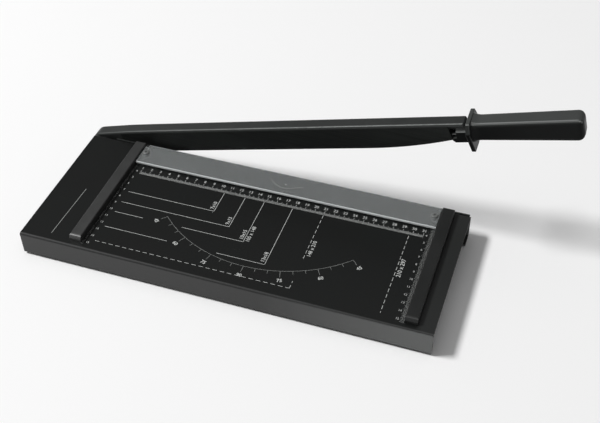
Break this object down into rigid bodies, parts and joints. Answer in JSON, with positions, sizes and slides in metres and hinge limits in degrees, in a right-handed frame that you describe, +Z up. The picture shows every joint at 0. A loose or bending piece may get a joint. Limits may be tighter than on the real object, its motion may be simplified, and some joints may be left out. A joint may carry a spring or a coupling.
{
  "type": "paper cutter",
  "caption": "Desk guillotine for paper: folded sheet base with printed rulers, side fences, clear clamp plate and a long hinged blade arm with a guarded grip.",
  "frame": {"origin": "on the table, under the middle of the whole cutter's outline with the arm at rest", "axes": "+X along the cut, from the pivot to the handle; +Y away from the user; +Z up"},
  "size_m": [0.506, 0.1875, 0.1657],
  "materials": {
    "base_enamel": "black satin powder coat",
    "knife_steel": "ground edge",
    "fastener_steel": "zinc plated",
    "foot_rubber": "matt",
    "fence_plastic": "moulded, light sheen",
    "clear_plastic": "clear, polished edges",
    "spring_steel": "drawn wire",
    "bush_brass": "turned",
    "arm_aluminium": "black anodised",
    "blade_steel": "blackened, ground edge",
    "handle_plastic": "moulded, satin"
  },
  "bodies": {
    "base": {"base_deck": "base_enamel", "bed_knife": "knife_steel", "bed_knife_screws": "fastener_steel", "bed_knife_nuts": "fastener_steel", "rubber_feet": "foot_rubber", "left_fence": "fence_plastic", "right_fence": "fence_plastic", "fence_screws": "fastener_steel", "clamp_screws": "fastener_steel", "clamp_springs": "spring_steel", "clamp_bushes": "bush_brass", "pivot_bolt": "fastener_steel", "pivot_outer_washer": "fastener_steel", "pivot_spacer": "fastener_steel", "pivot_inner_washer": "fastener_steel", "pivot_disc_springs": "spring_steel", "pivot_nut": "fastener_steel"},
    "clamp": {"clamp_plate": "clear_plastic"},
    "arm": {"arm_spine": "arm_aluminium", "cutting_blade": "blade_steel", "blade_screws": "fastener_steel", "pivot_bush": "bush_brass", "handle_ferrule": "handle_plastic", "ferrule_screw": "fastener_steel", "handle_rod": "fastener_steel", "finger_guard": "handle_plastic", "handle_grip": "handle_plastic"}
  },
  "joints": [
    {"name": "arm_hinge", "type": "hinge", "parent": "base", "child": "arm", "pos_m": [-0.239, 0.0756, 0.0155], "axis": [0, -1, 0], "range_deg": [-15, 60]},
    {"name": "clamp_slide", "type": "slide", "parent": "base", "child": "clamp", "axis": [0, 0, -1], "range_m": [0, 0.0017], "stiffness_N_per_m": 1000, "springref_m": -0.002, "deforming": ["clamp_springs"]}
  ]
}
